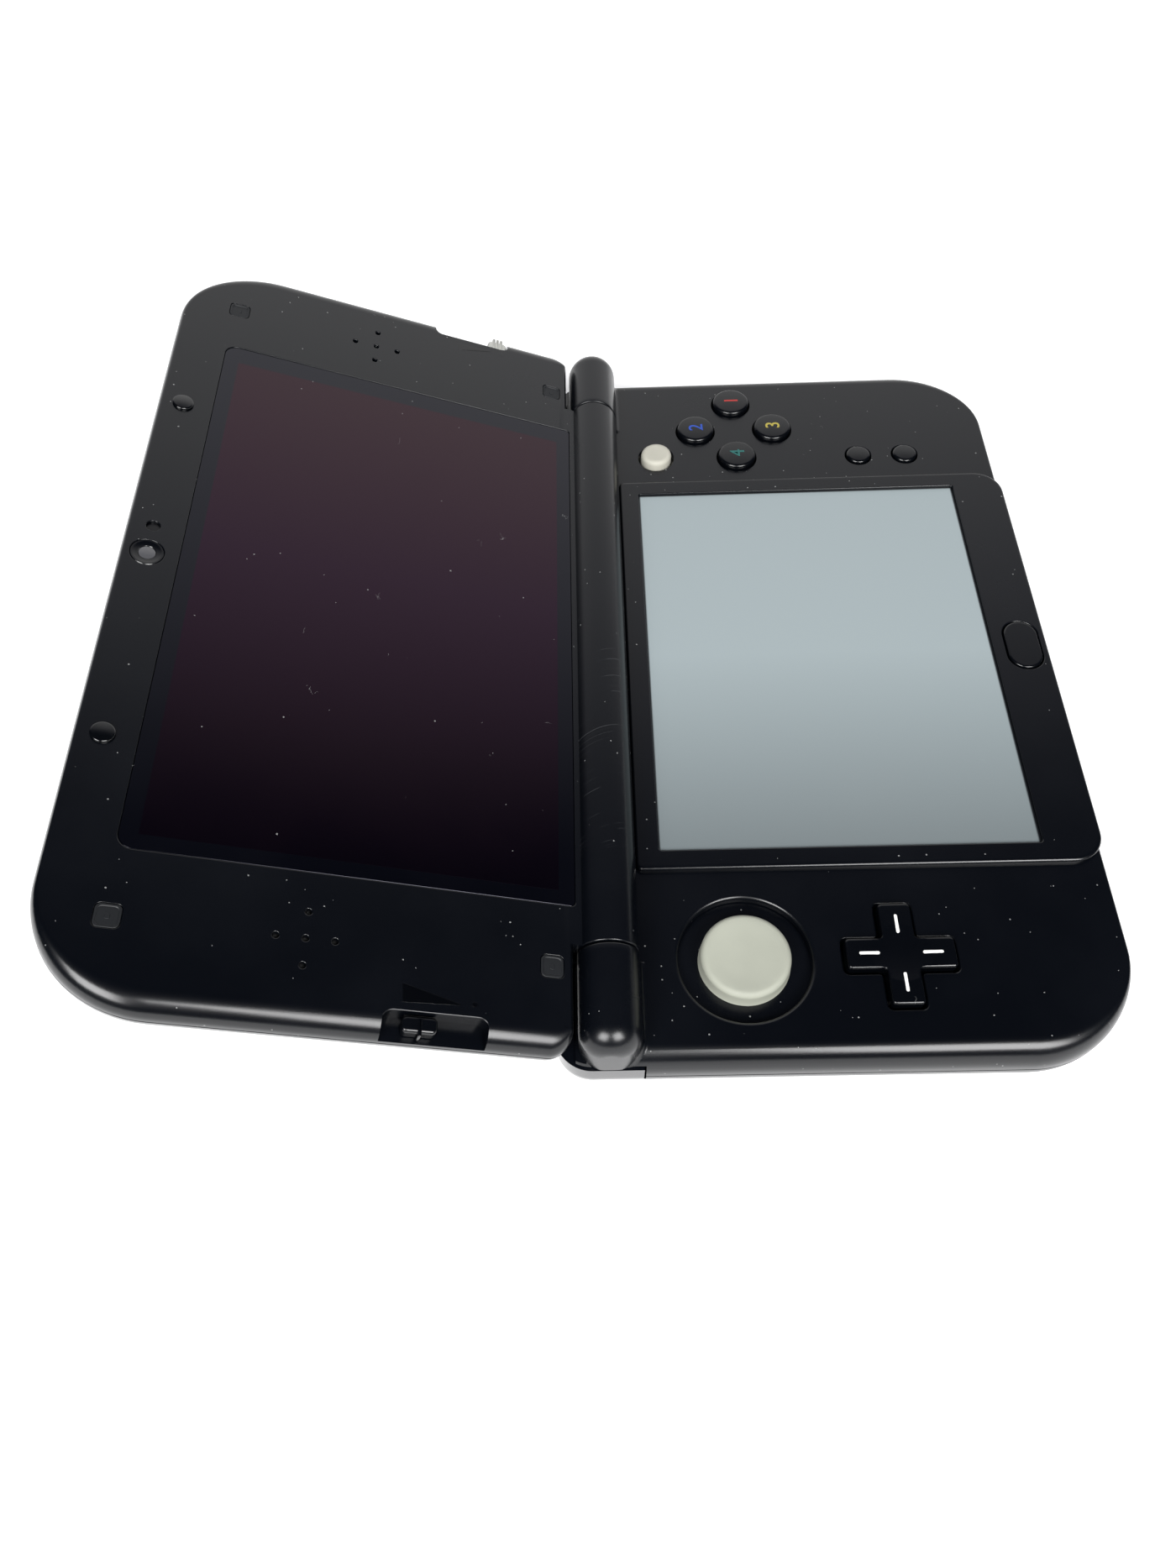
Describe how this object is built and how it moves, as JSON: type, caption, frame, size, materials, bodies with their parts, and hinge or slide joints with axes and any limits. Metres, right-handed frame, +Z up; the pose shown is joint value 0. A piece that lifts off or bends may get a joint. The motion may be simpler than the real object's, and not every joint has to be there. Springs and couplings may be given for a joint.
{
  "type": "clamshell handheld game console",
  "caption": "Handheld game console with a hinged screen lid, touch screen panel, slide pad, cross pad, round buttons, shoulder buttons and sliders, lid open.",
  "frame": {"origin": "on the underside, straight below the middle of the hinge axis", "axes": "+Z up from the table, +Y from the hinge towards the open lid, +X to the player's right"},
  "size_m": [0.16, 0.1662, 0.0432],
  "materials": {
    "case": "satin black moulded plastic",
    "gloss": "glossy black plastic",
    "cover": "fine-grained black plastic",
    "button": "smooth black plastic",
    "pad_rubber": "matt grey rubber",
    "stick_rubber": "matt pale grey rubber",
    "slider": "pale grey plastic",
    "rubber": "dark grey rubber",
    "touch_glass": "grey touch film over an unlit display",
    "screen_glass": "dark coated screen glass",
    "lens": "dark lens plastic",
    "light_pipe": "frosted clear plastic",
    "display": "display module frame",
    "inner_plastic": "white acetal",
    "membrane": "grey silicone",
    "board": "green circuit board",
    "chips": "black moulded parts",
    "battery": "dark wrapped cell",
    "steel": "plated steel",
    "brass": "plain brass",
    "flex": "amber film"
  },
  "bodies": {
    "base": {"base_upper_shell": "case", "base_lower_shell": "case", "back_cover": "cover", "cover_screws": "steel", "base_screws": "steel", "mainboard": "board", "board_chips": "chips", "battery": "battery", "game_card_slot": "steel", "memory_card_slot": "steel", "headphone_socket": "chips", "charging_port": "steel", "touch_screen": "touch_glass", "lower_display": "display", "slide_pad_housing": "inner_plastic", "button_membranes": "membrane", "shoulder_pivot_pins": "steel", "infrared_window": "lens", "light_pipes": "light_pipe", "hinge_pins": "steel"},
    "lid": {"hinge_bush": "brass", "hinge_clutch": "steel", "hinge_flex": "flex", "lid_inner_shell": "case", "lid_outer_shell": "gloss", "screen_glass": "screen_glass", "upper_display": "display", "speakers": "chips", "inner_camera": "lens", "light_sensor": "lens", "outer_cameras": "lens", "screw_covers": "rubber", "lid_bumpers": "rubber", "lid_screws": "steel"},
    "face_button_1": {"face_button_1": "button"},
    "face_button_2": {"face_button_2": "button"},
    "face_button_3": {"face_button_3": "button"},
    "face_button_4": {"face_button_4": "button"},
    "start_button": {"start_button": "button"},
    "select_button": {"select_button": "button"},
    "home_button": {"home_button": "button"},
    "power_button": {"power_button": "button"},
    "left_trigger": {"left_trigger": "gloss"},
    "right_trigger": {"right_trigger": "gloss"},
    "left_shoulder_button": {"left_shoulder_button": "gloss"},
    "right_shoulder_button": {"right_shoulder_button": "gloss"},
    "stylus": {"stylus": "case"},
    "volume_knob": {"volume_knob": "button"},
    "depth_knob": {"depth_knob": "slider"},
    "dpad_pivot": {"dpad_pivot": "inner_plastic"},
    "dpad": {"dpad": "button"},
    "stick_gimbal": {"stick_gimbal": "inner_plastic"},
    "stick_cap": {"stick_cap": "stick_rubber"},
    "slide_pad_carriage": {"slide_pad_carriage": "inner_plastic"},
    "slide_pad": {"slide_pad_skirt": "case", "slide_pad_cap": "pad_rubber"}
  },
  "joints": [
    {"name": "lid_hinge", "type": "hinge", "parent": "base", "child": "lid", "pos_m": [0, 0, 0.0146], "axis": [1, 0, 0], "range_deg": [0, 161]},
    {"name": "face_button_1_press", "type": "slide", "parent": "base", "child": "face_button_1", "axis": [0, 0, -1], "range_m": [0, 0.0008], "stiffness_N_per_m": 300},
    {"name": "face_button_2_press", "type": "slide", "parent": "base", "child": "face_button_2", "axis": [0, 0, -1], "range_m": [0, 0.0008], "stiffness_N_per_m": 300},
    {"name": "face_button_3_press", "type": "slide", "parent": "base", "child": "face_button_3", "axis": [0, 0, -1], "range_m": [0, 0.0008], "stiffness_N_per_m": 300},
    {"name": "face_button_4_press", "type": "slide", "parent": "base", "child": "face_button_4", "axis": [0, 0, -1], "range_m": [0, 0.0008], "stiffness_N_per_m": 300},
    {"name": "start_button_press", "type": "slide", "parent": "base", "child": "start_button", "axis": [0, 0, -1], "range_m": [0, 0.0008], "stiffness_N_per_m": 300},
    {"name": "select_button_press", "type": "slide", "parent": "base", "child": "select_button", "axis": [0, 0, -1], "range_m": [0, 0.0008], "stiffness_N_per_m": 300},
    {"name": "home_button_press", "type": "slide", "parent": "base", "child": "home_button", "axis": [0, 0, -1], "range_m": [0, 0.0008], "stiffness_N_per_m": 300},
    {"name": "power_press", "type": "slide", "parent": "base", "child": "power_button", "axis": [0, 1, 0], "range_m": [0, 0.0008], "stiffness_N_per_m": 300},
    {"name": "left_trigger_press", "type": "slide", "parent": "base", "child": "left_trigger", "axis": [0, -1, 0], "range_m": [0, 0.0009], "stiffness_N_per_m": 300},
    {"name": "left_shoulder_press", "type": "hinge", "parent": "base", "child": "left_shoulder_button", "pos_m": [-0.07795, 0.0015, 0.0058], "axis": [0, 0, -1], "range_deg": [0, 2.1], "stiffness_Nm_per_rad": 0.3},
    {"name": "right_trigger_press", "type": "slide", "parent": "base", "child": "right_trigger", "axis": [0, -1, 0], "range_m": [0, 0.0009], "stiffness_N_per_m": 300},
    {"name": "right_shoulder_press", "type": "hinge", "parent": "base", "child": "right_shoulder_button", "pos_m": [0.07795, 0.0015, 0.0058], "axis": [0, 0, 1], "range_deg": [0, 2.1], "stiffness_Nm_per_rad": 0.3},
    {"name": "slide_pad_x", "type": "slide", "parent": "base", "child": "slide_pad_carriage", "axis": [1, 0, 0], "range_m": [-0.002, 0.002], "stiffness_N_per_m": 100},
    {"name": "slide_pad_y", "type": "slide", "parent": "slide_pad_carriage", "child": "slide_pad", "axis": [0, 1, 0], "range_m": [-0.002, 0.002], "stiffness_N_per_m": 100},
    {"name": "dpad_tilt_x", "type": "hinge", "parent": "base", "child": "dpad_pivot", "pos_m": [-0.0624, -0.0471, 0.0084], "axis": [1, 0, 0], "range_deg": [-3, 3], "stiffness_Nm_per_rad": 0.1},
    {"name": "dpad_tilt_y", "type": "hinge", "parent": "dpad_pivot", "child": "dpad", "pos_m": [-0.0624, -0.0471, 0.0084], "axis": [0, 1, 0], "range_deg": [-3, 3], "stiffness_Nm_per_rad": 0.1},
    {"name": "stick_tilt_x", "type": "hinge", "parent": "base", "child": "stick_gimbal", "pos_m": [0.0543, -0.0134, 0.0082], "axis": [1, 0, 0], "range_deg": [-3, 3], "stiffness_Nm_per_rad": 0.1},
    {"name": "stick_tilt_y", "type": "hinge", "parent": "stick_gimbal", "child": "stick_cap", "pos_m": [0.0543, -0.0134, 0.0082], "axis": [0, 1, 0], "range_deg": [-3, 3], "stiffness_Nm_per_rad": 0.1},
    {"name": "stylus_draw", "type": "slide", "parent": "base", "child": "stylus", "axis": [0, -1, 0], "range_m": [0, 0.08]},
    {"name": "volume_slide", "type": "slide", "parent": "lid", "child": "volume_knob", "axis": [0, 0.9455, 0.3256], "range_m": [-0.0069, 0.0025]},
    {"name": "depth_slide", "type": "slide", "parent": "lid", "child": "depth_knob", "axis": [0, 0.9455, 0.3256], "range_m": [0, 0.0109]}
  ]
}
